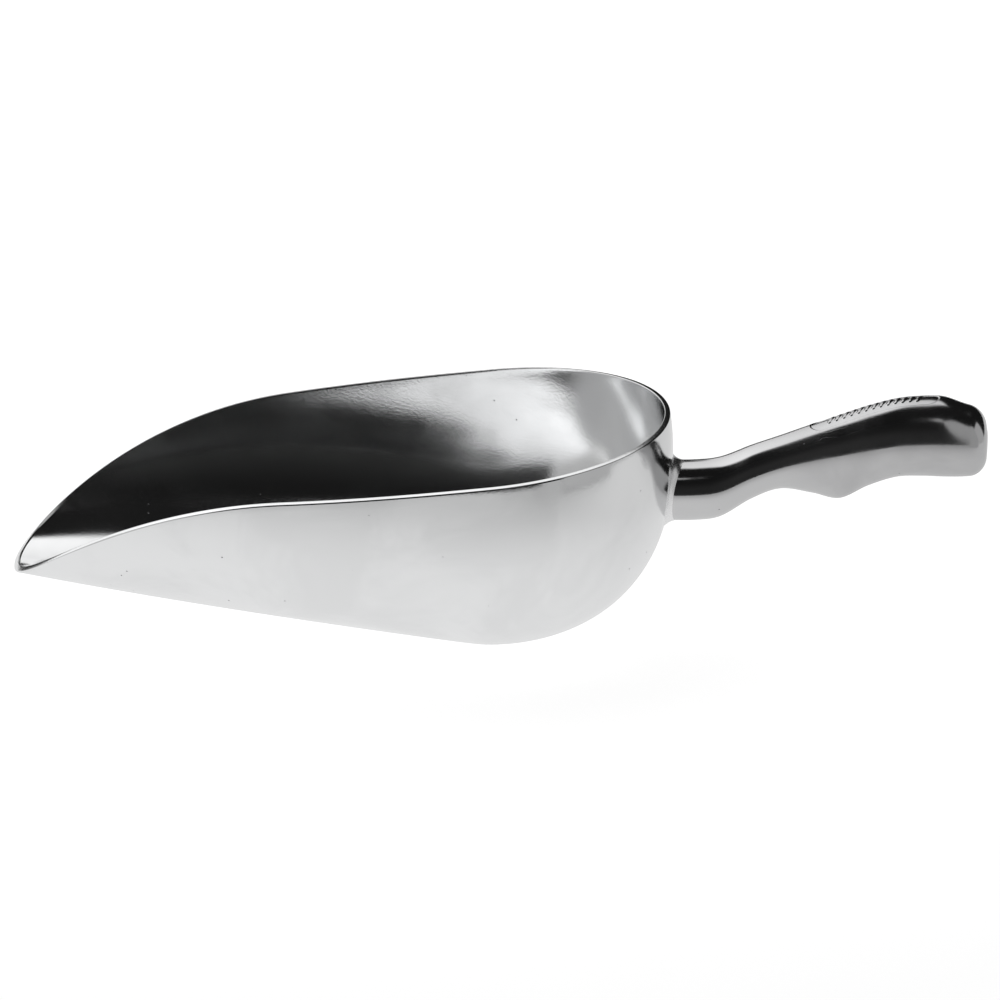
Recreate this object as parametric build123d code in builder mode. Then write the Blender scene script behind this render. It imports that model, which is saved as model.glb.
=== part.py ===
"""Round-bottomed ice scoop: an aluminium bowl, a cast grip, and the weld that joins them.

Millimetres, +Z up. The scoop stands on the small flat under its bowl, as it does on a counter:
the origin is on the counter under the centre of the bowl's round back, +X runs out along the
grip, -X towards the pouring tip, and the XZ plane is the plane of symmetry.
"""

import os
from math import cos, pi, sin

from build123d import *

# Bowl. Every section is a squared circle: |y/r|^n + |z/r|^n = 1, where n = 2 is a true circle.
bowl_radius = 63.2  # of the round back, at its widest level
bowl_squareness = 2.34  # n
wall = 2.0
tip_reach = 163.8  # back's centre to the tip
taper_spare = 26.9  # from the tip to where the shrinking sections would vanish
taper_onset = 2.41  # the larger, the longer the sections hold their full width
taper_fall = 1.2  # the larger, the steeper they shrink towards the tip
keel_slope = 0.145  # rise of the straight keel for each mm towards the tip
keel_blend = 4.0  # half-length of the bend between the keel and the level bottom
foot_depth = 0.3  # ground off the lowest point, which leaves the flat that it stands on

# Stations of the bowl's sections, as shares of its length ahead of the back's centre.
section_stations = (0.0, 0.02, 0.06, 0.14, 0.26, 0.4, 0.54, 0.67, 0.78, 0.87, 0.94, 1.0)
section_steps = 28  # points on half a section
tip_spare = 5.0  # how far the uncut bowl runs past the tip

# Rim, as seen from the side: a long low slope, a large bend, and a steep slope to the tip.
rim_rise = 9.7  # over the back's centre, above the bowl's widest level
rim_slope = 0.099
tip_slope = 0.84
rim_bend = 158.0  # radius
rim_round = min(0.8, 0.45 * wall)  # radius on both edges of the rim, which leaves the wall a flat

# Grip. It leaves the back of the bowl level, rises, and ends in a blunt round end.
# It is cast hollow, and its open inner end is closed by the bowl.
grip_length = 107.5  # from the back of the bowl to the end of the grip
neck_drop = 12.0  # middle of the neck below the bowl's widest level
grip_wall = 3.2
grip_end_round = 6.0
weld_radius = 4.8

# Grip sections: share of the grip's length from the bowl, then the rise of the widest line
# above the neck, the height above that line, the depth below it, and the half-width.
# The swell in the depth half-way along stands between the two finger grooves.
grip_sections = [
    (-0.05, -0.4, 10.3, 10.6, 10.4),
    (0.07, -0.4, 10.3, 10.6, 10.2),
    (0.15, 0.6, 10.4, 10.3, 9.8),
    (0.25, 5.6, 9.7, 8.8, 9.3),
    (0.34, 9.2, 9.5, 8.8, 9.3),
    (0.44, 11.9, 10.8, 13.1, 10.0),
    (0.53, 13.9, 12.3, 17.1, 11.0),
    (0.62, 16.0, 13.5, 14.5, 12.0),
    (0.71, 17.8, 14.2, 13.0, 12.7),
    (0.79, 18.6, 14.2, 13.4, 13.2),
    (0.86, 18.8, 13.8, 13.9, 13.3),
    (0.93, 18.9, 11.0, 14.0, 12.7),
    (1.00, 18.9, 8.9, 13.2, 11.6),
]

# Thumb land: a shallow panel sunk in the top of the grip, with a row of raised slanting bars.
land_length = 44.0
land_width = 9.4
land_depth = 0.35
land_end_gap = 16.7  # from the land to the end of the grip
bar_row_gap = 5.0  # least, from the row of bars to either end of the land
bar_side_gap = 2.1  # from the bars to either side of the land
bar_pitch = 2.5
bar_width = 1.1
bar_slant = 20.0  # degrees from straight across the grip

# Worked out from the values above.
taper_length = tip_reach + taper_spare
widest_level = bowl_radius - foot_depth  # of the back, above the counter
rim_height = widest_level + rim_rise
neck_height = widest_level - neck_drop
land_centre = bowl_radius + grip_length - land_end_gap - land_length / 2
bar_count = int((land_length - 2 * bar_row_gap) / bar_pitch)
bar_length = land_width - 2 * bar_side_gap
reach = 2 * (taper_length + grip_length)  # longer than the whole scoop


def keel_height(x):
    """Height of the outside of the bowl's lowest line."""
    ahead = min(x, 0.0)
    return keel_slope * ((ahead**2 + keel_blend**2) ** 0.5 - keel_blend) - foot_depth


def section_radius(x):
    """Half-width of the bowl at its widest level."""
    ahead = max(-x, 0.0)
    return bowl_radius * (1 - (ahead / taper_length) ** taper_onset) ** (1 / taper_fall)


def section_plane(x, height):
    """Plane across the scoop, its x towards +Y and its y up."""
    return Plane(origin=(x, 0, height), x_dir=(0, 1, 0), z_dir=(1, 0, 0))


def half_section(radius):
    """Curve from the lowest point of a bowl section, round its +y side, to the highest."""
    power = 2 / bowl_squareness
    points = []
    for step in range(section_steps + 1):
        turn = pi * step / section_steps
        side = 1 if turn > pi / 2 else -1
        points.append((radius * abs(sin(turn)) ** power, side * radius * abs(cos(turn)) ** power))
    return Spline(points, tangents=[(1, 0), (-1, 0)])


def uncut_bowl(inset):
    """The closed body that the bowl is cut from, with every section smaller by inset."""
    with BuildPart() as body:
        for station in section_stations:
            x = -station * (tip_reach + tip_spare)
            with BuildSketch(section_plane(x, keel_height(x) + section_radius(x))):
                with BuildLine():
                    half_section(section_radius(x) - inset)
                    mirror(about=Plane.YZ)
                make_face()
        loft()
        with BuildSketch(section_plane(0, widest_level)):
            with BuildLine():
                half = half_section(bowl_radius - inset)
                Line(half @ 1, half @ 0)
            make_face()
        revolve(axis=Axis.Z, revolution_arc=-180)
    return body.part


def grip_body(inset, end_trim):
    """The grip without its land, from inside the bowl, with every section smaller by inset."""
    with BuildPart() as body:
        for share, rise, above, below, half_width in grip_sections:
            x = bowl_radius + share * grip_length
            with BuildSketch(section_plane(x, neck_height + rise)):
                with BuildLine():
                    EllipticalCenterArc((0, 0), half_width - inset, above - inset, 0, arc_size=180)
                    EllipticalCenterArc((0, 0), half_width - inset, below - inset, 180, arc_size=180)
                make_face()
        loft()
        end_x = bowl_radius + grip_length - end_trim
        split(bisect_by=Plane.YZ.offset(end_x), keep=Keep.BOTTOM)
        end = body.faces().sort_by(Axis.X)[-1]
        fillet(end.edges(), radius=grip_end_round - end_trim)
    return body.part


outside = uncut_bowl(0)
inside = uncut_bowl(wall)
grip = grip_body(0, 0)
core = grip_body(grip_wall, grip_wall)
land_floor = grip_body(land_depth, 0)

# Bowl: a shell open along the rim, with a flat ground under it.
# The two straight runs of the rim, carried on past the bend, meet above it.
tip_height = keel_height(-tip_reach)
meet_x = (tip_height + tip_slope * tip_reach - rim_height) / (rim_slope - tip_slope)
meet = (meet_x, rim_height + rim_slope * meet_x)
rim_start = (-tip_reach - tip_height / tip_slope, 0)
rim_end = (reach, rim_height + rim_slope * reach)

with BuildPart() as bowl:
    add(outside)
    add(inside, mode=Mode.SUBTRACT)
    with BuildSketch(Plane.XZ):
        with BuildLine():
            FilletPolyline(rim_start, meet, rim_end, radius=rim_bend)
            Polyline(rim_end, (reach, -reach), (rim_start[0], -reach), rim_start)
        make_face()
    extrude(amount=reach, both=True, mode=Mode.INTERSECT)
    split(bisect_by=Plane.XY, keep=Keep.TOP)
    straight_runs = bowl.faces().filter_by(GeomType.PLANE).sort_by(Axis.Z)[1:]
    bends = bowl.faces().filter_by(GeomType.CYLINDER)
    rim_edges = (straight_runs + bends).edges().filter_by(lambda edge: edge.length > 2 * wall)
    fillet(rim_edges, radius=rim_round)
bowl.part.label = "bowl"

# Handle: the hollow grip, butted against the outside of the bowl, with its land cut.
with BuildPart() as land:
    with BuildSketch(Plane.XY.offset(neck_height)):
        with Locations((land_centre, 0)):
            SlotOverall(land_length, land_width)
            with GridLocations(bar_pitch, 0, bar_count, 1):
                SlotOverall(bar_length, bar_width, rotation=90 - bar_slant, mode=Mode.SUBTRACT)
    extrude(amount=reach)
    add(land_floor, mode=Mode.SUBTRACT)

with BuildPart() as handle:
    add(grip)
    add(core, mode=Mode.SUBTRACT)
    add(outside, mode=Mode.SUBTRACT)
    add(land.part, mode=Mode.SUBTRACT)
handle.part.label = "handle"

# Weld: a fillet all round the joint, less the bowl and the grip. Only their metal close to
# the joint is taken, inside a block that clears the weld all round.
root_clearance = 3 * weld_radius
root_size = 2 * (max(grip_sections[0][2:]) + root_clearance)

with BuildPart() as root_block:
    with BuildSketch(Plane.YZ.offset(bowl_radius - root_clearance)):
        with Locations((0, neck_height)):
            Rectangle(root_size, root_size)
    extrude(amount=2 * root_clearance)

with BuildPart() as unwelded:
    add(outside)
    add(grip)

with BuildPart() as welded:
    add(unwelded.part)
    joint = welded.edges().filter_by_position(
        Axis.X, bowl_radius - 2 * weld_radius, bowl_radius + weld_radius
    )
    fillet(joint, radius=weld_radius)

with BuildPart() as unwelded_root:
    add(unwelded.part)
    add(root_block.part, mode=Mode.INTERSECT)

with BuildPart() as weld:
    add(welded.part)
    add(root_block.part, mode=Mode.INTERSECT)
    add(unwelded_root.part, mode=Mode.SUBTRACT)
weld.part.label = "weld"

os.makedirs("parts", exist_ok=True)
export_step(bowl.part, "parts/bowl.step")
export_step(handle.part, "parts/handle.step")
export_step(weld.part, "parts/weld.step")
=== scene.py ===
import math

import bmesh
import bpy
from mathutils import Matrix, Vector


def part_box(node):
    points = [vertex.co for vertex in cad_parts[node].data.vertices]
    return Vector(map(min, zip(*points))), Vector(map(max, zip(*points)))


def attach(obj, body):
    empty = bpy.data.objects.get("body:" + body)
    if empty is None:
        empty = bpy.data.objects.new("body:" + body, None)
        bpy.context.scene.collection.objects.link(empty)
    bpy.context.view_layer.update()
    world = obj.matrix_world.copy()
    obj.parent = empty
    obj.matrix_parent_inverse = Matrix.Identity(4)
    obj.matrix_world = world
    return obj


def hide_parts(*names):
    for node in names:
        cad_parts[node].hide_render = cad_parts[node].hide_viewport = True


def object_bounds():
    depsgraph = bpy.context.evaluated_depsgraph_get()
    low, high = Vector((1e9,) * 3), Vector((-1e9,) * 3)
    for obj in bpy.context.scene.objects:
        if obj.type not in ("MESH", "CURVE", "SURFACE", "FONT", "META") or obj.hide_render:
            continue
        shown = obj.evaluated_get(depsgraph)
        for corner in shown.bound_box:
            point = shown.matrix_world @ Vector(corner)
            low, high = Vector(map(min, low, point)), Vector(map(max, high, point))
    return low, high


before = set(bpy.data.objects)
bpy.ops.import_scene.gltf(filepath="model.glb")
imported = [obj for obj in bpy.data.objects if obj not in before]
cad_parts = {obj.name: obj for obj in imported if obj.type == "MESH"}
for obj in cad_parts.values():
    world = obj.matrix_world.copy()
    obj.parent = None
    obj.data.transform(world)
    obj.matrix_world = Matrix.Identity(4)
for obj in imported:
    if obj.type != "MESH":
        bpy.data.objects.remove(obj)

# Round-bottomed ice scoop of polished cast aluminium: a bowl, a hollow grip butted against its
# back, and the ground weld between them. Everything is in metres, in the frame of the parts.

mm = 0.001
cad_low, cad_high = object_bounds()
bowl_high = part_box("bowl")[1]
handle_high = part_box("handle")[1]

# Bowl: every section is a squared circle, |y/r|^n + |z/r|^n = 1.
bowl_radius = bowl_high.x
bowl_squareness = 2.34
wall = 2.0 * mm
tip_reach = 163.8 * mm
taper_length = tip_reach + 26.9 * mm
taper_onset = 2.41
taper_fall = 1.2
keel_slope = 0.145
keel_blend = 4.0 * mm
foot_depth = 0.3 * mm
widest_level = bowl_radius - foot_depth

# Rim, from the side: a long low slope, a large bend and a steep slope to the tip.
rim_height = widest_level + 9.7 * mm
rim_slope = 0.099
tip_slope = 0.84
rim_bend = 158.0 * mm
rim_round = 0.8 * mm
outer_corner = 0.55 * mm
inner_corner = 0.25 * mm
facet_lean = math.radians(12.0)

# Grip: share of its length from the bowl, rise of the widest line, height above that line,
# depth below it, half-width.
grip_length = handle_high.x - bowl_radius
neck_height = widest_level - 12.0 * mm
grip_end_round = 6.0 * mm
end_crown = 0.35 * mm
weld_radius = 4.8 * mm
grip_sections = [
    (-0.05, -0.4, 10.3, 10.6, 10.4),
    (0.07, -0.4, 10.3, 10.6, 10.2),
    (0.15, 0.6, 10.4, 10.3, 9.8),
    (0.25, 5.6, 9.7, 8.8, 9.3),
    (0.34, 9.2, 9.5, 8.8, 9.3),
    (0.44, 11.9, 10.8, 13.1, 10.0),
    (0.53, 13.9, 12.3, 17.1, 11.0),
    (0.62, 16.0, 13.5, 14.5, 12.0),
    (0.71, 17.8, 14.2, 13.0, 12.7),
    (0.79, 18.6, 14.2, 13.4, 13.2),
    (0.86, 18.8, 13.8, 13.9, 13.3),
    (0.93, 18.9, 11.0, 14.0, 12.7),
    (1.00, 18.9, 8.9, 13.2, 11.6),
]

# Thumb land in the top of the grip, with its row of raised slanting bars.
land_length = 44.0 * mm
land_width = 9.4 * mm
land_depth = 0.35 * mm
land_end_gap = 16.7 * mm
land_centre = handle_high.x - land_end_gap - land_length / 2
bar_count = 13
bar_pitch = 2.5 * mm
bar_width = 1.1 * mm
bar_length = 5.2 * mm
bar_slant = math.radians(20.0)
edge_softness = 0.22 * mm

# Points closer than these become one; a search halves its range this many times.
merge_gap = 0.0005 * mm
mirror_gap = 0.001 * mm
halvings = 44


# ---------------------------------------------------------------- shape of the bowl

def keel_height(x):
    ahead = min(x, 0.0)
    return keel_slope * (math.hypot(ahead, keel_blend) - keel_blend) - foot_depth


def section_radius(x):
    ahead = max(-x, 0.0)
    return bowl_radius * (1 - (ahead / taper_length) ** taper_onset) ** (1 / taper_fall)


tip_lean = math.atan(tip_slope)
low_lean = math.atan(rim_slope)
tip_height = keel_height(-tip_reach)
meet_x = (tip_height + tip_slope * tip_reach - rim_height) / (rim_slope - tip_slope)
meet_z = rim_height + rim_slope * meet_x
bend_run = rim_bend * math.tan((tip_lean - low_lean) / 2)
bend_x = meet_x - bend_run * math.cos(tip_lean) + rim_bend * math.sin(tip_lean)
bend_z = meet_z - bend_run * math.sin(tip_lean) - rim_bend * math.cos(tip_lean)


def rim_lean(x):
    """Slope angle of the rim at x."""
    return min(max(math.asin(min(max((bend_x - x) / rim_bend, -1), 1)), low_lean), tip_lean)


def rim_level(x, sink):
    """Height of the rim at x, sunk square to itself."""
    radius = rim_bend - sink
    lean = rim_lean(bend_x + (x - bend_x) * rim_bend / radius)
    touch_x = bend_x - radius * math.sin(lean)
    touch_z = bend_z + radius * math.cos(lean)
    return touch_z + math.tan(lean) * (x - touch_x)


def squared(value):
    """value to the power that squares a circle off, keeping its sign."""
    return math.copysign(abs(value) ** (2 / bowl_squareness), value)


def front_point(x, turn, inset):
    """A point of the section at x, turned up from the keel."""
    radius = section_radius(x) - inset
    middle = keel_height(x) + section_radius(x)
    return Vector((x, radius * squared(math.sin(turn)), middle - radius * squared(math.cos(turn))))


def back_point(swing, turn, inset):
    """A point of the round back, swung from the +Y side towards the grip."""
    radius = bowl_radius - inset
    out = radius * squared(math.sin(turn))
    height = widest_level - radius * squared(math.cos(turn))
    return Vector((out * math.sin(swing), out * math.cos(swing), height))


def turn_at_rim(point_at, sink):
    """How far a section turns before it meets the sunken rim."""
    low, high = 0.0, math.pi
    for _ in range(halvings):
        turn = (low + high) / 2
        point = point_at(turn)
        if point.z < rim_level(point.x, sink):
            low = turn
        else:
            high = turn
    return low


def tip_of_skin(inset):
    """Where the sunken rim meets the keel of a skin."""
    low, high = -tip_reach, -tip_reach / 2
    for _ in range(halvings):
        x = (low + high) / 2
        if rim_level(x, rim_round) < keel_height(x) + inset:
            low = x
        else:
            high = x
    return high


# Fineness of the bowl's mesh; its front columns crowd together towards the tip.
front_columns = 160
back_columns = 58
skin_rows = 58
corner_rows = 5
tip_crowding = 2.34


def rim_profile():
    """Rows over the rim: the face they start from, how far in from it they are, and how high.

    A rounded outer corner runs into a facet that slopes outwards, and a small corner turns in.
    """
    rows = []
    for step in range(1, corner_rows + 1):
        facing = math.pi / 2 + (facet_lean - math.pi / 2) * step / corner_rows
        rise = outer_corner * math.cos(facing)
        rows.append(("outer", outer_corner * (1 - math.sin(facing)), rise))
    for step in range(corner_rows + 1):
        facing = facet_lean - (facet_lean + math.pi / 2) * step / corner_rows
        drop = inner_corner * (1 - math.cos(facing))
        rows.append(("inner", inner_corner * (1 + math.sin(facing)), rim_round - drop))
    return rows


def bowl_column(column):
    """Points of one column of the bowl, up the outside, over the rim and down the inside."""
    skins = []
    for inset in (0.0, wall):
        if column <= front_columns:
            x = tip_of_skin(inset) * (1 - (column / front_columns) ** tip_crowding)
            point_at = lambda turn, x=x, inset=inset: front_point(x, turn, inset)
        else:
            swing = math.pi / 2 * (column - front_columns) / back_columns
            point_at = lambda turn, s=swing, inset=inset: back_point(s, turn, inset)
        top = 0.0 if column == 0 else turn_at_rim(point_at, rim_round)
        skins.append([point_at(top * row / skin_rows) for row in range(skin_rows + 1)])
    outer, inner = skins
    across = inner[-1] - outer[-1]
    lean = rim_lean((outer[-1].x + inner[-1].x) / 2)
    square = Vector((-math.sin(lean), 0.0, math.cos(lean)))
    edge = []
    for side, into, lift in rim_profile():
        start, way = (outer[-1], 1) if side == "outer" else (inner[-1], -1)
        edge.append(start + across.normalized() * into * way + square * lift)
    return outer + edge + inner[::-1]


def shaped_grid(bm, columns, rows, point_at):
    """A sheet of quads whose corners are moved to point_at(column, row)."""
    made = bmesh.ops.create_grid(bm, x_segments=columns, y_segments=rows, size=0.5)
    for vert in made["verts"]:
        column = round((vert.co.x + 0.5) * columns)
        row = round((vert.co.y + 0.5) * rows)
        vert.co = point_at(column, row)
    return made["verts"]


def drawn_into_box(bm, low, high):
    """Draw the ends that stand out of the part's box back to it, evenly along each axis."""
    for axis in range(3):
        least = min(vert.co[axis] for vert in bm.verts)
        most = max(vert.co[axis] for vert in bm.verts)
        for vert in bm.verts:
            if vert.co[axis] < 0 and least < low[axis]:
                vert.co[axis] *= low[axis] / least
            elif vert.co[axis] > 0 and most > high[axis]:
                vert.co[axis] *= high[axis] / most


def finished_piece(bm, name, node):
    """The closed mesh as an object that stands for a node and rides with the scoop."""
    drawn_into_box(bm, *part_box(node))
    bmesh.ops.recalc_face_normals(bm, faces=bm.faces)
    for face in bm.faces:
        face.smooth = True
    mesh = bpy.data.meshes.new(name)
    bm.to_mesh(mesh)
    bm.free()
    piece = bpy.data.objects.new(name, mesh)
    bpy.context.scene.collection.objects.link(piece)
    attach(piece, "root")
    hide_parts(node)
    return piece


def make_bowl():
    bm = bmesh.new()
    columns = front_columns + back_columns
    lines = [bowl_column(column) for column in range(columns + 1)]
    rows = len(lines[0]) - 1
    shaped_grid(bm, columns, rows, lambda column, row: lines[column][row])
    bmesh.ops.remove_doubles(bm, verts=bm.verts, dist=merge_gap)
    bmesh.ops.mirror(bm, geom=bm.verts[:] + bm.edges[:] + bm.faces[:], axis="Y", merge_dist=mirror_gap)
    bmesh.ops.remove_doubles(bm, verts=bm.verts, dist=merge_gap)
    cut = bmesh.ops.bisect_plane(
        bm, geom=bm.verts[:] + bm.edges[:] + bm.faces[:],
        plane_co=(0, 0, 0), plane_no=(0, 0, 1), clear_inner=True,
    )
    ring = [item for item in cut["geom_cut"] if isinstance(item, bmesh.types.BMEdge)]
    bmesh.ops.contextual_create(bm, geom=ring)
    for edge in ring:
        edge.smooth = False
    return finished_piece(bm, "scoop_bowl", "bowl")


# ---------------------------------------------------------------- shape of the grip

def grip_section(x):
    """Middle height, height above it, depth below it and half-width of the grip at x."""
    share = (x - bowl_radius) / grip_length
    last = len(grip_sections) - 1
    at = max(k for k in range(last) if grip_sections[k][0] <= share or k == 0)
    before, here, there, after = (grip_sections[min(max(at + k, 0), last)] for k in (-1, 0, 1, 2))
    span = there[0] - here[0]
    t = min(max((share - here[0]) / span, 0.0), 1.0)
    values = []
    for column in range(1, 5):
        lean_here = (there[column] - before[column]) / (there[0] - before[0]) * span
        lean_there = (after[column] - here[column]) / (after[0] - here[0]) * span
        values.append(
            here[column] * (2 * t**3 - 3 * t**2 + 1) + lean_here * (t**3 - 2 * t**2 + t)
            + there[column] * (3 * t**2 - 2 * t**3) + lean_there * (t**3 - t**2)
        )
    rise, above, below, half_width = (value * mm for value in values)
    return neck_height + rise, above, below, half_width


def grip_point(x, angle, inset):
    """A point of the grip's skin at x, turned up from its +Y side."""
    middle, above, below, half_width = grip_section(x)
    tall = above if math.sin(angle) > 0 else below
    return Vector((x, (half_width - inset) * math.cos(angle), middle + (tall - inset) * math.sin(angle)))


def back_of_bowl(y, z):
    """Where the outside of the bowl's back is, level with a point."""
    level = abs(z - widest_level)
    out = (bowl_radius**bowl_squareness - level**bowl_squareness) ** (1 / bowl_squareness)
    return math.sqrt(out**2 - y**2)


def inside_slot(along, across, length, width):
    """Distance into a round-ended slot, negative outside it."""
    return width / 2 - math.hypot(max(abs(along) - (length - width) / 2, 0.0), across)


def soft_step(distance):
    """0 outside an edge and 1 inside it, with a rounded step between."""
    t = min(max(distance / edge_softness / 2 + 0.5, 0.0), 1.0)
    return t * t * (3 - 2 * t)


def land_sink(x, y):
    """How far the skin is sunk at a place on top of the grip."""
    sunk = soft_step(inside_slot(x - land_centre, y, land_length, land_width))
    if sunk == 0:
        return 0.0
    raised = 0.0
    for bar in range(bar_count):
        off = x - land_centre - (bar - (bar_count - 1) / 2) * bar_pitch
        along = off * math.sin(bar_slant) + y * math.cos(bar_slant)
        across = off * math.cos(bar_slant) - y * math.sin(bar_slant)
        raised = max(raised, soft_step(inside_slot(along, across, bar_length, bar_width)))
    return land_depth * sunk * (1 - raised)


def evenly(start, stop, count):
    """count values from start, leaving stop out."""
    return [start + (stop - start) * step / count for step in range(count)]


def make_handle():
    root_sink = 1.0 * mm
    root_end = bowl_radius + 7.5 * mm
    land_margin = 1.5 * mm
    land_start = land_centre - land_length / 2 - land_margin
    land_stop = land_centre + land_length / 2 + land_margin
    bend_start = handle_high.x - grip_end_round
    # Rings round the grip and points round a ring are both crowded over the land.
    neck_rings, land_rings, end_rings = 44, 190, 14
    stations = evenly(root_end, land_start, neck_rings) + evenly(land_start, land_stop, land_rings)
    stations += evenly(land_stop, bend_start, end_rings)
    root_columns, bend_columns, cap_columns = 10, 12, 5
    near_edge, far_edge = math.radians(56), math.radians(124)
    near_points, top_points, under_points = 14, 64, 56
    angles = evenly(0, near_edge, near_points) + evenly(near_edge, far_edge, top_points)
    angles += evenly(far_edge, math.tau, under_points) + [math.tau]

    def ring_point(column, angle):
        if column <= root_columns:
            start = grip_point(root_end, angle, 0)
            start_x = back_of_bowl(start.y, start.z) - root_sink
            if column == 0:
                middle = grip_section(root_end)[0]
                return Vector((back_of_bowl(0, middle) - root_sink, 0, middle))
            x = start_x + (root_end - start_x) * (column - 1) / root_columns
            return grip_point(x, angle, 0)
        column -= root_columns + 1
        if column < len(stations):
            x = stations[column]
            flat = grip_point(x, angle, 0)
            return grip_point(x, angle, land_sink(x, flat.y) if math.sin(angle) > 0 else 0)
        column -= len(stations)
        if column <= bend_columns:
            bend = math.pi / 2 * column / bend_columns
            x = bend_start + (grip_end_round - end_crown) * math.sin(bend)
            return grip_point(x, angle, grip_end_round * (1 - math.cos(bend)))
        shrink = 1 - (column - bend_columns) / cap_columns
        rim = grip_point(bend_start + grip_end_round - end_crown, angle, grip_end_round)
        middle = grip_section(handle_high.x)[0]
        x = handle_high.x - end_crown * shrink**2
        return Vector((x, rim.y * shrink, middle + (rim.z - middle) * shrink))

    columns = root_columns + len(stations) + bend_columns + cap_columns + 1
    bm = bmesh.new()
    shaped_grid(bm, columns, len(angles) - 1, lambda column, row: ring_point(column, angles[row]))
    bmesh.ops.remove_doubles(bm, verts=bm.verts, dist=merge_gap)
    return finished_piece(bm, "scoop_grip", "handle")


# ---------------------------------------------------------------- shape of the weld

def make_weld():
    around, arc_rows = 160, 12
    # Its edges are sunk a hair into the bowl and the grip, and its hidden root goes deeper.
    sink = 0.012 * mm
    hidden = 0.6 * mm
    sharp = math.radians(40)

    def bead_point(row, column):
        angle = math.tau * column / around
        start = grip_point(bowl_radius + weld_radius / 2, angle, 0)
        _, above, below, half_width = grip_section(bowl_radius)
        tall = above if math.sin(angle) > 0 else below
        out = Vector((0, math.cos(angle) / half_width, math.sin(angle) / tall)).normalized()
        if row in (0, arc_rows + 2):
            place = start - out * hidden
            return Vector((back_of_bowl(place.y, place.z) - hidden, place.y, place.z))
        turn = math.pi / 2 * (row - 1) / arc_rows
        place = start + out * (weld_radius * (1 - math.cos(turn)) - sink)
        x = back_of_bowl(place.y, place.z) + weld_radius * (1 - math.sin(turn)) - sink
        if row == 1:
            place = grip_point(x, angle, sink)
        return Vector((x, place.y, place.z))

    bm = bmesh.new()
    shaped_grid(bm, arc_rows + 2, around, bead_point)
    bmesh.ops.remove_doubles(bm, verts=bm.verts, dist=merge_gap)
    for edge in bm.edges:
        if edge.calc_face_angle(0) > sharp:
            edge.smooth = False
    return finished_piece(bm, "scoop_weld", "weld")


# ---------------------------------------------------------------- finishes

def add_node(tree, kind, settings=None, **values):
    """A node whose inputs are set or linked by name, or by place where the name is _0, _1, _2."""
    node = tree.nodes.new(kind)
    for name, value in (settings or {}).items():
        setattr(node, name, value)
    for name, value in values.items():
        key = int(name[1:]) if name[0] == "_" else name.replace("_", " ")
        if isinstance(value, bpy.types.NodeSocket):
            tree.links.new(value, node.inputs[key])
        else:
            node.inputs[key].default_value = value
    return node


def math_node(tree, operation, first, second=0.0):
    return add_node(tree, "ShaderNodeMath", {"operation": operation}, _0=first, _1=second).outputs[0]


def spread(tree, value, low, high, to_low=0.0, to_high=1.0):
    """value from low to high, carried over to to_low to to_high, with soft ends."""
    node = add_node(
        tree, "ShaderNodeMapRange", {"interpolation_type": "SMOOTHSTEP"},
        Value=value, From_Min=low, From_Max=high, To_Min=to_low, To_Max=to_high,
    )
    return node.outputs[0]


def effect_group(name, inputs, outputs):
    """An empty shared effect with float inputs (and a Place vector) and float outputs."""
    tree = bpy.data.node_groups.new(name, "ShaderNodeTree")
    tree.interface.new_socket("Place", in_out="INPUT", socket_type="NodeSocketVector")
    for label in inputs:
        tree.interface.new_socket(label, in_out="INPUT", socket_type="NodeSocketFloat")
    for label in outputs:
        tree.interface.new_socket(label, in_out="OUTPUT", socket_type="NodeSocketFloat")
    return tree, tree.nodes.new("NodeGroupInput").outputs, tree.nodes.new("NodeGroupOutput").inputs


def satin_grain_group():
    """Fine sparkle left by the polishing mop, and the broader cloudy patches of its haze."""
    tree, given, out = effect_group("satin grain", ["Grain Scale", "Cloud Scale"], ["Grain", "Cloud"])
    fine = add_node(tree, "ShaderNodeTexNoise", Vector=given["Place"], Scale=given["Grain Scale"],
                    Detail=3.0, Roughness=0.65)
    cloud = add_node(tree, "ShaderNodeTexNoise", Vector=given["Place"], Scale=given["Cloud Scale"],
                     Detail=4.0, Roughness=0.55, Distortion=0.6)
    tree.links.new(spread(tree, fine.outputs[0], 0.3, 0.7), out["Grain"])
    tree.links.new(spread(tree, cloud.outputs[0], 0.36, 0.66), out["Cloud"])
    return tree


def casting_pits_group():
    """Scattered pin holes of the casting that polishing opens up."""
    tree, given, out = effect_group("casting pits", ["Pit Scale", "Amount"], ["Pits"])
    cells = add_node(tree, "ShaderNodeTexVoronoi", {"feature": "F1"}, Vector=given["Place"],
                     Scale=given["Pit Scale"], Randomness=1.0)
    chosen = add_node(tree, "ShaderNodeSeparateColor", Color=cells.outputs["Color"])
    threshold = math_node(tree, "SUBTRACT", 1.0, given["Amount"])
    size = spread(tree, chosen.outputs[0], threshold, 1.0, 0.0, 0.2)
    depth = math_node(tree, "SUBTRACT", size, cells.outputs["Distance"])
    tree.links.new(spread(tree, depth, 0.0, 0.06), out["Pits"])
    return tree


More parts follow.
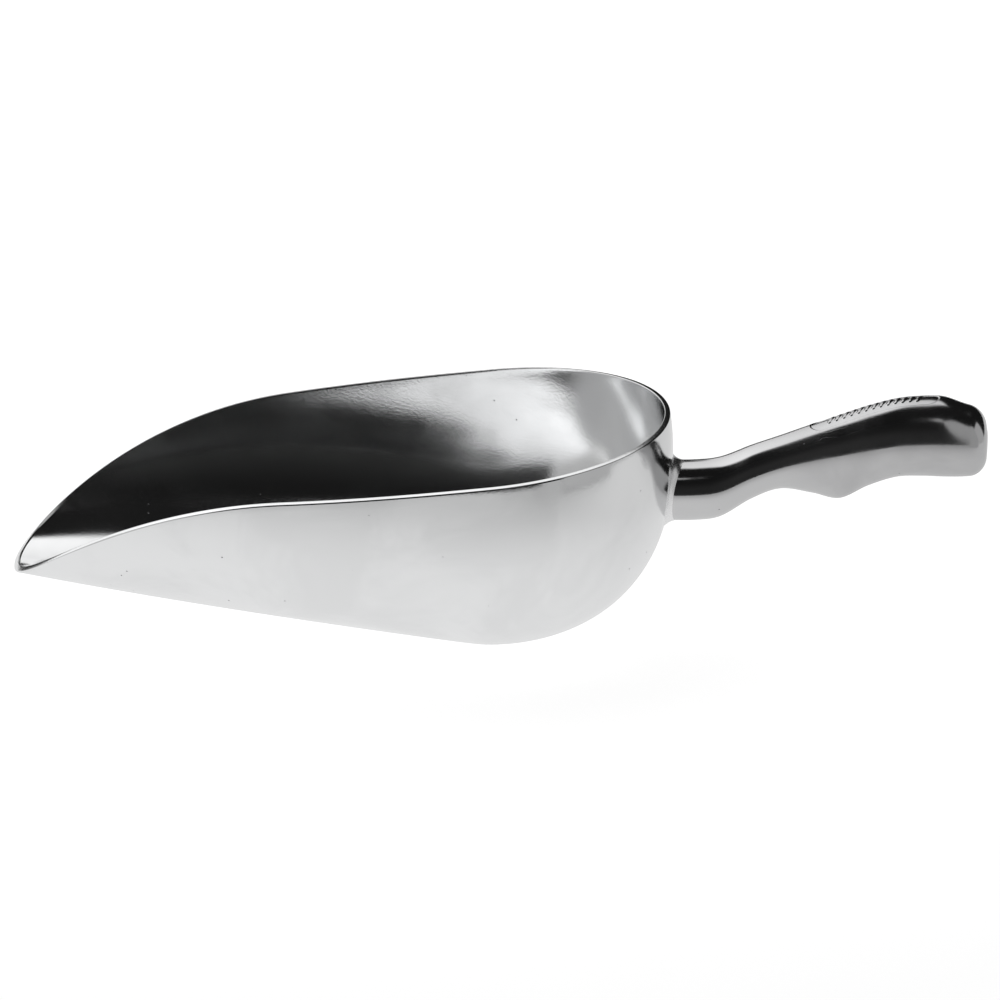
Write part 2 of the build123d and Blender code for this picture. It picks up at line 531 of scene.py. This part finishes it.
def scratches_group():
    """Sparse hair-thin scratches, in three crossing directions."""
    tree, given, out = effect_group("hair scratches", ["Density"], ["Scratches"])
    ways = ((0.5, 0.035, 420.0), (-0.9, 0.05, 360.0), (1.3, 0.04, 300.0))
    patch_scale = 0.13
    lines = []
    for angle, stretch, scale in ways:
        place = add_node(tree, "ShaderNodeMapping", {"vector_type": "POINT"}, Vector=given["Place"],
                         Rotation=(angle * 0.4, angle, angle * 0.7), Scale=(stretch, 1.0, 1.0))
        noise = add_node(tree, "ShaderNodeTexNoise", Vector=place.outputs[0], Scale=scale,
                         Detail=1.0, Roughness=0.4)
        gate = add_node(tree, "ShaderNodeTexNoise", Vector=place.outputs[0], Scale=scale * patch_scale,
                        Detail=2.0, Roughness=0.5)
        line = math_node(tree, "ABSOLUTE", math_node(tree, "SUBTRACT", noise.outputs[0], 0.5))
        thin = spread(tree, line, 0.0, 0.012, 1.0, 0.0)
        rare = spread(tree, gate.outputs[0], math_node(tree, "SUBTRACT", 0.72, given["Density"]), 0.78)
        lines.append(math_node(tree, "MULTIPLY", thin, rare))
    both = math_node(tree, "MAXIMUM", lines[0], math_node(tree, "MAXIMUM", lines[1], lines[2]))
    tree.links.new(both, out["Scratches"])
    return tree


def hand_waves_group():
    """The slight unevenness of a surface that was ground and polished by hand."""
    tree, given, out = effect_group("hand waves", ["Wave Scale"], ["Waves"])
    place = add_node(tree, "ShaderNodeMapping", Vector=given["Place"], Scale=(0.6, 1.0, 1.25))
    broad = add_node(tree, "ShaderNodeTexNoise", Vector=place.outputs[0], Scale=given["Wave Scale"],
                     Detail=1.5, Roughness=0.4)
    tree.links.new(broad.outputs[0], out["Waves"])
    return tree


satin_grain = satin_grain_group()
casting_pits = casting_pits_group()
hair_scratches = scratches_group()
hand_waves = hand_waves_group()


def use_group(tree, group, **values):
    """The outputs of a shared effect placed in a material with its own values."""
    return add_node(tree, "ShaderNodeGroup", {"node_tree": group}, **values).outputs


def polished_aluminium(name, tint, dull_tint, smooth, hazy, wave, grain, pits, scratches):
    """Cast aluminium, hand polished: waves, haze, grain, pin holes and hair scratches."""
    cloud_scale = 28.0
    mark_haze = 0.25
    scratch_share = 0.35
    mark_depth = 0.03 * mm
    material = bpy.data.materials.new(name)
    material.use_nodes = True
    tree = material.node_tree
    shader = tree.nodes["Principled BSDF"]
    shader.inputs["Metallic"].default_value = 1.0
    place = tree.nodes.new("ShaderNodeTexCoord").outputs["Object"]
    satin = use_group(tree, satin_grain, Place=place, Grain_Scale=grain["scale"], Cloud_Scale=cloud_scale)
    holes = use_group(tree, casting_pits, Place=place, Pit_Scale=pits["scale"], Amount=pits["amount"])
    pit = holes["Pits"]
    hair = use_group(tree, hair_scratches, Place=place, Density=scratches)["Scratches"]
    waves = use_group(tree, hand_waves, Place=place, Wave_Scale=wave["scale"])["Waves"]

    clean = add_node(tree, "ShaderNodeMix", {"data_type": "RGBA"}, _0=satin["Cloud"])
    clean.inputs[6].default_value = (*tint, 1)
    clean.inputs[7].default_value = (*dull_tint, 1)
    pitted = add_node(tree, "ShaderNodeMix", {"data_type": "RGBA"}, _0=pit)
    tree.links.new(clean.outputs[2], pitted.inputs[6])
    pitted.inputs[7].default_value = (*pit_tint, 1)
    tree.links.new(pitted.outputs[2], shader.inputs["Base Color"])

    haze = spread(tree, satin["Cloud"], 0.0, 1.0, smooth, hazy)
    sparkle = math_node(tree, "MULTIPLY", satin["Grain"], grain["haze"])
    marks = math_node(tree, "MULTIPLY", math_node(tree, "MAXIMUM", hair, pit), mark_haze)
    rough = math_node(tree, "ADD", math_node(tree, "ADD", haze, sparkle), marks)
    tree.links.new(rough, shader.inputs["Roughness"])

    wavy = add_node(tree, "ShaderNodeBump", Strength=1.0, Distance=wave["height"], Height=waves)
    grainy = add_node(tree, "ShaderNodeBump", Strength=1.0, Distance=grain["height"],
                      Height=satin["Grain"], Normal=wavy.outputs[0])
    dents = math_node(tree, "ADD", math_node(tree, "MULTIPLY", hair, scratch_share), pit)
    marked = add_node(tree, "ShaderNodeBump", {"invert": True}, Strength=1.0, Distance=mark_depth,
                      Height=dents, Normal=grainy.outputs[0])
    tree.links.new(marked.outputs[0], shader.inputs["Normal"])
    return material


bowl = make_bowl()
handle = make_handle()
weld = make_weld()
pit_tint = (0.30, 0.30, 0.31)

bowl.data.materials.append(polished_aluminium(
    "polished bowl", tint=(0.90, 0.905, 0.91), dull_tint=(0.84, 0.845, 0.85), smooth=0.085, hazy=0.13,
    wave={"scale": 45.0, "height": 0.03 * mm},
    grain={"scale": 1200.0, "height": 0.006 * mm, "haze": 0.03},
    pits={"scale": 520.0, "amount": 0.04}, scratches=0.03))
handle.data.materials.append(polished_aluminium(
    "polished grip", tint=(0.64, 0.64, 0.645), dull_tint=(0.57, 0.57, 0.575), smooth=0.09, hazy=0.15,
    wave={"scale": 70.0, "height": 0.035 * mm},
    grain={"scale": 1300.0, "height": 0.001 * mm, "haze": 0.04},
    pits={"scale": 520.0, "amount": 0.04}, scratches=0.05))
weld.data.materials.append(polished_aluminium(
    "ground weld", tint=(0.90, 0.90, 0.905), dull_tint=(0.84, 0.84, 0.845), smooth=0.24, hazy=0.34,
    wave={"scale": 210.0, "height": 0.06 * mm},
    grain={"scale": 1400.0, "height": 0.002 * mm, "haze": 0.08},
    pits={"scale": 330.0, "amount": 0.22}, scratches=0.06))


# ---------------------------------------------------------------- floor, lights and camera

white = (1, 1, 1, 1)
floor_size = 4.0

# What the metal sees of the table: a glow with painted shade, dimmer towards the front edge and beside
# the grip.
table_glow_near = 0.81
table_glow_painted_shade = 0.55
table_front_edge, table_front_full = -0.30, -0.04
grip_side_start, grip_side_end = 0.02, 0.20
grip_side_painted_shade = 0.80

# What the camera sees of it: paper that still takes a little shadow.
seen_table_glow = 0.88
paper_white = 0.5

# The room is dark but for a pale wall that fills the view to the left.
room_glow = 0.01
left_wall_glow = 0.47
left_wall_full, left_wall_edge = -0.72, -0.45

card_grey = 0.02          # glow left at the soft side of a cloth


def make_floor():
    """A white table that glows in place of being lit: bright round the scoop, with painted shade fading
    it towards the room and beside the grip.
    """
    bm = bmesh.new()
    bmesh.ops.create_grid(bm, x_segments=1, y_segments=1, size=floor_size)
    mesh = bpy.data.meshes.new("floor")
    bm.to_mesh(mesh)
    bm.free()
    floor = bpy.data.objects.new("floor", mesh)
    bpy.context.scene.collection.objects.link(floor)
    floor.location.z = cad_low.z
    material = bpy.data.materials.new("white table")
    material.use_nodes = True
    mesh.materials.append(material)
    tree = material.node_tree
    place = tree.nodes.new("ShaderNodeTexCoord").outputs["Object"]
    axes = add_node(tree, "ShaderNodeSeparateXYZ", Vector=place).outputs
    # Painted shade: the glow the metal sees is dimmed towards the front edge and beside the grip.
    front = spread(tree, axes["Y"], table_front_edge, table_front_full, table_glow_painted_shade, table_glow_near)
    side = spread(tree, axes["X"], grip_side_start, grip_side_end, 1.0, grip_side_painted_shade)
    glow = math_node(tree, "MULTIPLY", front, side)
    lit = add_node(tree, "ShaderNodeEmission", Color=white, Strength=glow)
    seen_glow = add_node(tree, "ShaderNodeEmission", Color=white, Strength=seen_table_glow)
    seen_paper = add_node(tree, "ShaderNodeBsdfDiffuse", Color=(paper_white, paper_white, paper_white, 1))
    seen = add_node(tree, "ShaderNodeAddShader", _0=seen_glow.outputs[0], _1=seen_paper.outputs[0])
    path = tree.nodes.new("ShaderNodeLightPath")
    both = add_node(tree, "ShaderNodeMixShader", _0=path.outputs["Is Camera Ray"],
                    _1=lit.outputs[0], _2=seen.outputs[0])
    tree.links.new(both.outputs[0], tree.nodes["Material Output"].inputs["Surface"])
    tree.nodes.remove(tree.nodes["Principled BSDF"])


def make_room():
    """A dim room with a pale wall on the left."""
    world = bpy.data.worlds.new("room")
    bpy.context.scene.world = world
    world.use_nodes = True
    tree = world.node_tree
    way = tree.nodes.new("ShaderNodeTexCoord").outputs["Generated"]
    axes = add_node(tree, "ShaderNodeSeparateXYZ", Vector=way).outputs
    strength = spread(tree, axes["X"], left_wall_full, left_wall_edge, left_wall_glow, room_glow)
    tree.links.new(strength, tree.nodes["Background"].inputs["Strength"])
    tree.nodes["Background"].inputs["Color"].default_value = white


def make_card(name, width, height, turn, place, material):
    """A flat card round the scoop that only shows in its reflections."""
    bm = bmesh.new()
    bm.loops.layers.uv.new("UVMap")
    made = bmesh.ops.create_grid(bm, x_segments=1, y_segments=1, size=0.5, calc_uvs=True)
    bmesh.ops.scale(bm, vec=(width, height, 1), verts=made["verts"])
    bmesh.ops.rotate(bm, matrix=turn, verts=made["verts"])
    bmesh.ops.translate(bm, vec=place, verts=made["verts"])
    mesh = bpy.data.meshes.new(name)
    bm.to_mesh(mesh)
    bm.free()
    mesh.materials.append(material)
    card = bpy.data.objects.new(name, mesh)
    bpy.context.scene.collection.objects.link(card)
    card.visible_camera = False
    card.visible_shadow = False


def glowing(name, near, far, soft_edge, soft_sides=("left", "right", "bottom", "top")):
    """A lit cloth: its glow runs from near to far along its width, and fades at its soft sides."""
    near_until, far_from = 0.25, 0.95
    material = bpy.data.materials.new(name)
    material.use_nodes = True
    tree = material.node_tree
    place = tree.nodes.new("ShaderNodeTexCoord").outputs["UV"]
    axes = add_node(tree, "ShaderNodeSeparateXYZ", Vector=place).outputs
    glow = spread(tree, axes["X"], near_until, far_from, near, far)
    for side in soft_sides:
        along = axes["X"] if side in ("left", "right") else axes["Y"]
        if side in ("left", "bottom"):
            fade = spread(tree, along, 0.0, soft_edge, card_grey, 1.0)
        else:
            fade = spread(tree, along, 1.0 - soft_edge, 1.0, 1.0, card_grey)
        glow = math_node(tree, "MULTIPLY", glow, fade)
    lit = add_node(tree, "ShaderNodeEmission", Color=white, Strength=glow)
    tree.links.new(lit.outputs[0], tree.nodes["Material Output"].inputs["Surface"])
    tree.nodes.remove(tree.nodes["Principled BSDF"])
    return material


def upright(start, stop, height, name, material, lift=0.0):
    """An upright card between two places, standing on the floor or hung over it."""
    start, stop = Vector(start), Vector(stop)
    run = stop - start
    turn = Matrix.Rotation(math.atan2(run.y, run.x), 3, "Z") @ Matrix.Rotation(math.pi / 2, 3, "X")
    middle = (start + stop) / 2
    make_card(name, run.length, height, turn, (middle.x, middle.y, lift + height / 2), material)


def softbox(name, azimuth, elevation, distance, width, height, glow):
    """An area light aimed at the scoop; azimuth is from -Y towards +X."""
    data = bpy.data.lights.new(name, "AREA")
    data.shape = "RECTANGLE"
    data.size = width
    data.size_y = height
    data.energy = math.pi * width * height * glow
    light = bpy.data.objects.new(name, data)
    bpy.context.scene.collection.objects.link(light)
    swing, climb = math.radians(azimuth), math.radians(elevation)
    place = Vector((
        math.sin(swing) * math.cos(climb), -math.cos(swing) * math.cos(climb), math.sin(climb)
    )) * distance
    light.location = place
    light.rotation_euler = (-place).to_track_quat("-Z", "Y").to_euler()


def black_felt():
    felt = bpy.data.materials.new("black felt")
    felt.use_nodes = True
    felt.node_tree.nodes["Principled BSDF"].inputs["Base Color"].default_value = (0.012, 0.012, 0.012, 1)
    return felt


def hang_cards():
    """Cards that shape the reflections: black in front, grey on the right, white over and behind."""
    upright((-0.505, -0.51), (0.298, -0.51), 0.8, "black card", black_felt())
    upright((0.225, -0.25), (0.37, -0.10), 0.45, "near right card",
            glowing("near right cloth", 0.42, 0.42, 0.01))
    upright((0.560, -0.40), (0.75, 0.25), 0.6, "right card", glowing("right cloth", 0.5, 0.5, 0.01))
    upright((-1.6, 1.02), (0.10, 1.02), 0.60, "back cloth",
            glowing("back cloth", 1.0, 0.92, 0.09, ("right", "bottom")), lift=0.27)
    overhead_turn = Matrix.Rotation(math.radians(26), 3, "Z")
    make_card("overhead cloth", 1.08, 0.90, overhead_turn, (-0.246, 0.438, 0.6),
              glowing("overhead cloth", 1.25, 0.9, 0.12, ("right", "bottom")))


make_floor()
make_room()
hang_cards()
softbox("front softbox", azimuth=14, elevation=59, distance=3.0, width=0.5, height=0.5, glow=0.4)

camera_data = bpy.data.cameras.new("camera")
camera = bpy.data.objects.new("camera", camera_data)
bpy.context.scene.collection.objects.link(camera)
bpy.context.scene.camera = camera
middle = (cad_low + cad_high) / 2
aim_left = 0.1 * mm
aim_up = 4.65 * mm
aim = Vector((middle.x - aim_left, 0.0, middle.z + aim_up))
elevation = math.radians(19.5)
camera_distance = 5.0
view_width = 342.5 * mm
camera.location = aim + camera_distance * Vector((0, -math.cos(elevation), math.sin(elevation)))
camera.rotation_euler = (math.pi / 2 - elevation, 0, 0)
camera_data.sensor_width = 36.0
camera_data.lens = camera_data.sensor_width * camera_distance / view_width
camera_data.clip_end = 50.0
bpy.context.scene.view_settings.view_transform = "Standard"
